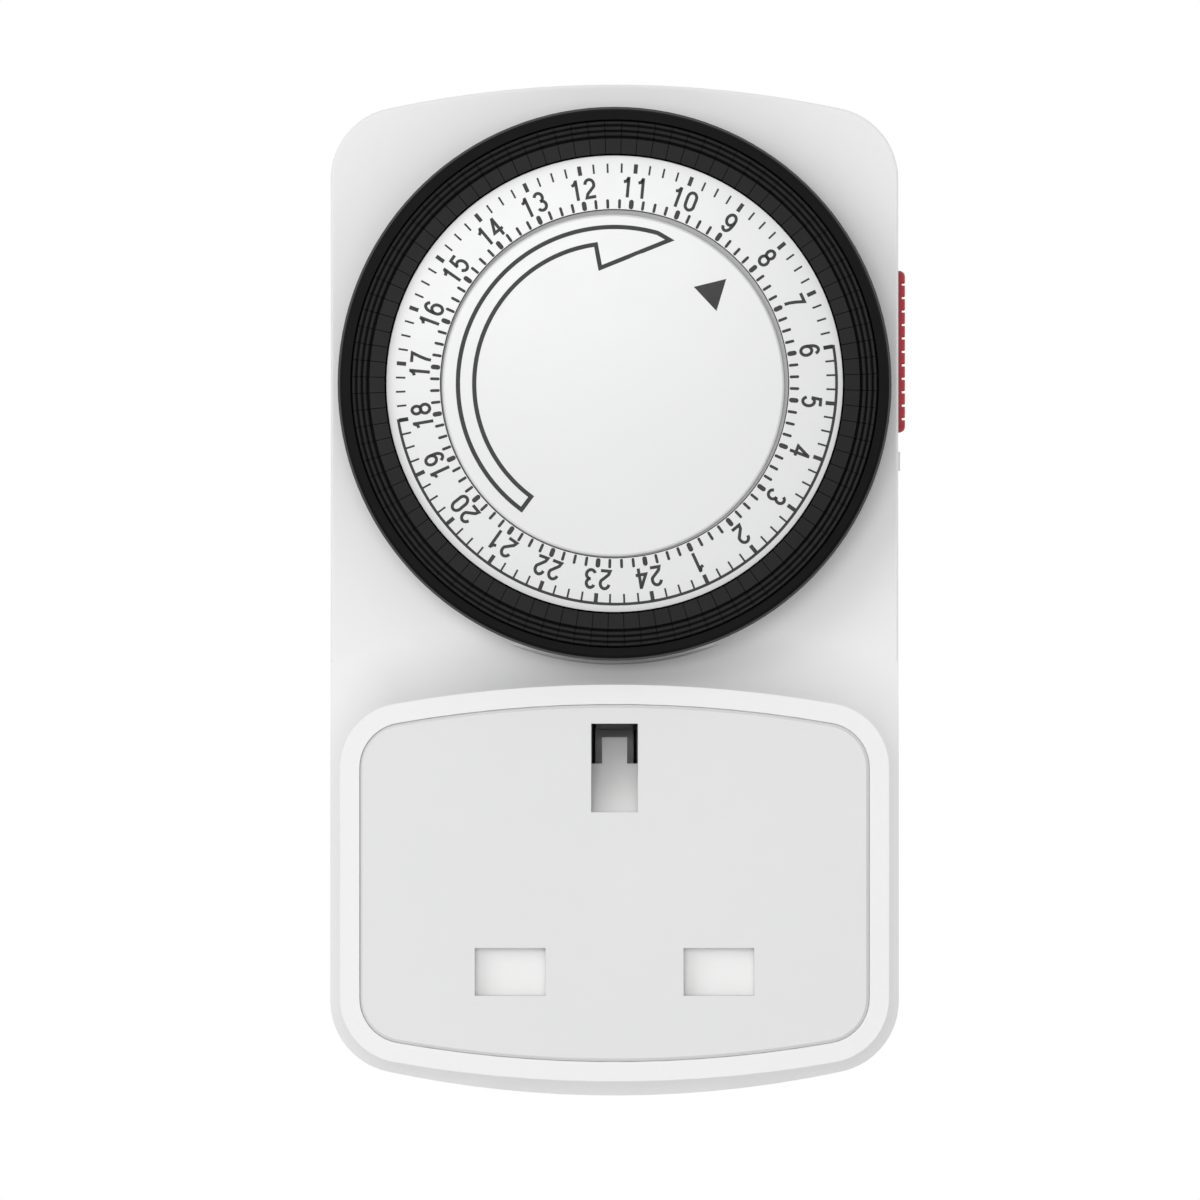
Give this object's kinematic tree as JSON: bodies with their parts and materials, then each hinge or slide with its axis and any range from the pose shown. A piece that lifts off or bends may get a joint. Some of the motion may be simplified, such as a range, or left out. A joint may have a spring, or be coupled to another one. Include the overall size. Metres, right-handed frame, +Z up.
{
  "type": "plug-in timer switch",
  "caption": "Mechanical 24-hour plug-in timer switch with a segment dial, a shuttered front socket, an override slide and a geared clock motor inside.",
  "frame": {"origin": "on the flat wall face, midway between the centres of the line and neutral pins", "axes": "+X right as seen from the front, +Y from the front into the wall, along the plug pins, +Z up from the plug pins to the dial"},
  "size_m": [0.0614, 0.0707, 0.1077],
  "materials": {
    "white_shell": "satin white moulding",
    "dial_white": "smooth white",
    "dial_black": "fine matt black",
    "red_grip": "red, ribbed",
    "carrier_grey": "grey moulding",
    "gear_plastic": "natural slippery plastic",
    "brass_contacts": "plain brass",
    "sleeve_black": "matt black sleeve",
    "plated_steel": "zinc plated",
    "spring_steel": "bright spring wire",
    "copper_wire": "enamelled copper winding",
    "ferrite": "dark magnet"
  },
  "bodies": {
    "housing": {"front_housing": "white_shell", "rear_housing": "white_shell", "housing_screws": "plated_steel", "socket_plate": "white_shell", "contact_carrier": "carrier_grey", "line_clip": "brass_contacts", "neutral_clip": "brass_contacts", "earth_clip": "brass_contacts", "line_pin": "brass_contacts", "neutral_pin": "brass_contacts", "earth_pin": "brass_contacts", "pin_sleeves": "sleeve_black", "line_feed_bar": "brass_contacts", "line_return_bar": "brass_contacts", "mechanism_plate": "plated_steel", "gear_axles": "plated_steel", "motor_can": "plated_steel", "motor_coil": "copper_wire", "coil_bobbin": "carrier_grey", "motor_gearbox": "carrier_grey", "motor_screws": "plated_steel", "centre_disc": "dial_white", "dial_washer": "gear_plastic", "shutter_spring": "spring_steel"},
    "dial": {"dial_drum": "dial_black", "dial_plate": "dial_white"},
    "segments_hour_00": {"segments_hour_00": "dial_black"},
    "segments_hour_01": {"segments_hour_01": "dial_black"},
    "segments_hour_02": {"segments_hour_02": "dial_black"},
    "segments_hour_03": {"segments_hour_03": "dial_black"},
    "segments_hour_04": {"segments_hour_04": "dial_black"},
    "segments_hour_05": {"segments_hour_05": "dial_black"},
    "segments_hour_06": {"segments_hour_06": "dial_black"},
    "segments_hour_07": {"segments_hour_07": "dial_black"},
    "segments_hour_08": {"segments_hour_08": "dial_black"},
    "segments_hour_09": {"segments_hour_09": "dial_black"},
    "segments_hour_10": {"segments_hour_10": "dial_black"},
    "segments_hour_11": {"segments_hour_11": "dial_black"},
    "segments_hour_12": {"segments_hour_12": "dial_black"},
    "segments_hour_13": {"segments_hour_13": "dial_black"},
    "segments_hour_14": {"segments_hour_14": "dial_black"},
    "segments_hour_15": {"segments_hour_15": "dial_black"},
    "segments_hour_16": {"segments_hour_16": "dial_black"},
    "segments_hour_17": {"segments_hour_17": "dial_black"},
    "segments_hour_18": {"segments_hour_18": "dial_black"},
    "segments_hour_19": {"segments_hour_19": "dial_black"},
    "segments_hour_20": {"segments_hour_20": "dial_black"},
    "segments_hour_21": {"segments_hour_21": "dial_black"},
    "segments_hour_22": {"segments_hour_22": "dial_black"},
    "segments_hour_23": {"segments_hour_23": "dial_black"},
    "clutch_pinion": {"clutch_pinion": "gear_plastic"},
    "clutch_wheel": {"clutch_wheel": "gear_plastic"},
    "second_gear": {"second_gear": "gear_plastic"},
    "first_gear": {"first_gear": "gear_plastic"},
    "motor_pinion": {"motor_pinion": "brass_contacts"},
    "motor_rotor": {"motor_rotor": "ferrite"},
    "cam_follower": {"cam_follower": "gear_plastic"},
    "contact_leaf": {"contact_leaf": "brass_contacts"},
    "override_slide": {"override_slide": "red_grip"},
    "shutter": {"shutter": "white_shell"}
  },
  "joints": [
    {"name": "dial_turn", "type": "hinge", "parent": "housing", "child": "dial", "pos_m": [0, -0.04, 0.0625], "axis": [0, -1, 0], "continuous": true},
    {"name": "segments_hour_00_push", "type": "slide", "parent": "dial", "child": "segments_hour_00", "axis": [0, 1, 0], "range_m": [0, 0.0025]},
    {"name": "segments_hour_01_push", "type": "slide", "parent": "dial", "child": "segments_hour_01", "axis": [0, 1, 0], "range_m": [0, 0.0025]},
    {"name": "segments_hour_02_push", "type": "slide", "parent": "dial", "child": "segments_hour_02", "axis": [0, 1, 0], "range_m": [0, 0.0025]},
    {"name": "segments_hour_03_push", "type": "slide", "parent": "dial", "child": "segments_hour_03", "axis": [0, 1, 0], "range_m": [0, 0.0025]},
    {"name": "segments_hour_04_push", "type": "slide", "parent": "dial", "child": "segments_hour_04", "axis": [0, 1, 0], "range_m": [0, 0.0025]},
    {"name": "segments_hour_05_push", "type": "slide", "parent": "dial", "child": "segments_hour_05", "axis": [0, 1, 0], "range_m": [0, 0.0025]},
    {"name": "segments_hour_06_push", "type": "slide", "parent": "dial", "child": "segments_hour_06", "axis": [0, 1, 0], "range_m": [0, 0.0025]},
    {"name": "segments_hour_07_push", "type": "slide", "parent": "dial", "child": "segments_hour_07", "axis": [0, 1, 0], "range_m": [0, 0.0025]},
    {"name": "segments_hour_08_push", "type": "slide", "parent": "dial", "child": "segments_hour_08", "axis": [0, 1, 0], "range_m": [0, 0.0025]},
    {"name": "segments_hour_09_push", "type": "slide", "parent": "dial", "child": "segments_hour_09", "axis": [0, 1, 0], "range_m": [0, 0.0025]},
    {"name": "segments_hour_10_push", "type": "slide", "parent": "dial", "child": "segments_hour_10", "axis": [0, 1, 0], "range_m": [0, 0.0025]},
    {"name": "segments_hour_11_push", "type": "slide", "parent": "dial", "child": "segments_hour_11", "axis": [0, 1, 0], "range_m": [0, 0.0025]},
    {"name": "segments_hour_12_push", "type": "slide", "parent": "dial", "child": "segments_hour_12", "axis": [0, 1, 0], "range_m": [0, 0.0025]},
    {"name": "segments_hour_13_push", "type": "slide", "parent": "dial", "child": "segments_hour_13", "axis": [0, 1, 0], "range_m": [0, 0.0025]},
    {"name": "segments_hour_14_push", "type": "slide", "parent": "dial", "child": "segments_hour_14", "axis": [0, 1, 0], "range_m": [0, 0.0025]},
    {"name": "segments_hour_15_push", "type": "slide", "parent": "dial", "child": "segments_hour_15", "axis": [0, 1, 0], "range_m": [0, 0.0025]},
    {"name": "segments_hour_16_push", "type": "slide", "parent": "dial", "child": "segments_hour_16", "axis": [0, 1, 0], "range_m": [0, 0.0025]},
    {"name": "segments_hour_17_push", "type": "slide", "parent": "dial", "child": "segments_hour_17", "axis": [0, 1, 0], "range_m": [0, 0.0025]},
    {"name": "segments_hour_18_push", "type": "slide", "parent": "dial", "child": "segments_hour_18", "axis": [0, 1, 0], "range_m": [0, 0.0025]},
    {"name": "segments_hour_19_push", "type": "slide", "parent": "dial", "child": "segments_hour_19", "axis": [0, 1, 0], "range_m": [0, 0.0025]},
    {"name": "segments_hour_20_push", "type": "slide", "parent": "dial", "child": "segments_hour_20", "axis": [0, 1, 0], "range_m": [0, 0.0025]},
    {"name": "segments_hour_21_push", "type": "slide", "parent": "dial", "child": "segments_hour_21", "axis": [0, 1, 0], "range_m": [0, 0.0025]},
    {"name": "segments_hour_22_push", "type": "slide", "parent": "dial", "child": "segments_hour_22", "axis": [0, 1, 0], "range_m": [0, 0.0025]},
    {"name": "segments_hour_23_push", "type": "slide", "parent": "dial", "child": "segments_hour_23", "axis": [0, 1, 0], "range_m": [0, 0.0025]},
    {"name": "clutch_pinion_turn", "type": "hinge", "parent": "housing", "child": "clutch_pinion", "pos_m": [-0.01618, -0.03, 0.05816], "axis": [0, -1, 0], "continuous": true},
    {"name": "motor_pinion_turn", "type": "hinge", "parent": "housing", "child": "motor_pinion", "pos_m": [-0.00299, -0.03, 0.0604], "axis": [0, -1, 0], "continuous": true},
    {"name": "first_gear_turn", "type": "hinge", "parent": "housing", "child": "first_gear", "pos_m": [0.00031, -0.03, 0.05133], "axis": [0, -1, 0], "continuous": true},
    {"name": "second_gear_turn", "type": "hinge", "parent": "housing", "child": "second_gear", "pos_m": [-0.01055, -0.03, 0.04842], "axis": [0, -1, 0], "continuous": true},
    {"name": "clutch_wheel_turn", "type": "hinge", "parent": "housing", "child": "clutch_wheel", "pos_m": [-0.01618, -0.03, 0.05816], "axis": [0, -1, 0], "continuous": true},
    {"name": "rotor_turn", "type": "hinge", "parent": "housing", "child": "motor_rotor", "pos_m": [-0.008, -0.03, 0.0675], "axis": [0, -1, 0], "continuous": true},
    {"name": "follower_push", "type": "slide", "parent": "housing", "child": "cam_follower", "axis": [0, 1, 0], "range_m": [0, 0.0025]},
    {"name": "contact_leaf_bend", "type": "hinge", "parent": "housing", "child": "contact_leaf", "pos_m": [0.0191, -0.0255, 0.06], "axis": [-1, 0, 0], "range_deg": [0, 7]},
    {"name": "override_slide_move", "type": "slide", "parent": "housing", "child": "override_slide", "axis": [0, 0, 1], "range_m": [0, 0.0045]},
    {"name": "shutter_open", "type": "slide", "parent": "housing", "child": "shutter", "axis": [0, 0, -1], "range_m": [0, 0.0068], "stiffness_N_per_m": 100, "springref_m": -0.003, "deforming": ["shutter_spring"]}
  ],
  "couplings": [
    {"joint": "clutch_pinion_turn", "follows": "dial_turn", "ratio": 8},
    {"joint": "second_gear_turn", "follows": "clutch_wheel_turn", "ratio": -6},
    {"joint": "first_gear_turn", "follows": "clutch_wheel_turn", "ratio": 36},
    {"joint": "motor_pinion_turn", "follows": "clutch_wheel_turn", "ratio": -180},
    {"joint": "follower_push", "follows": "segments_hour_08_push", "ratio": 1},
    {"joint": "contact_leaf_bend", "follows": "segments_hour_08_push", "rad_per_m": 48.693}
  ]
}
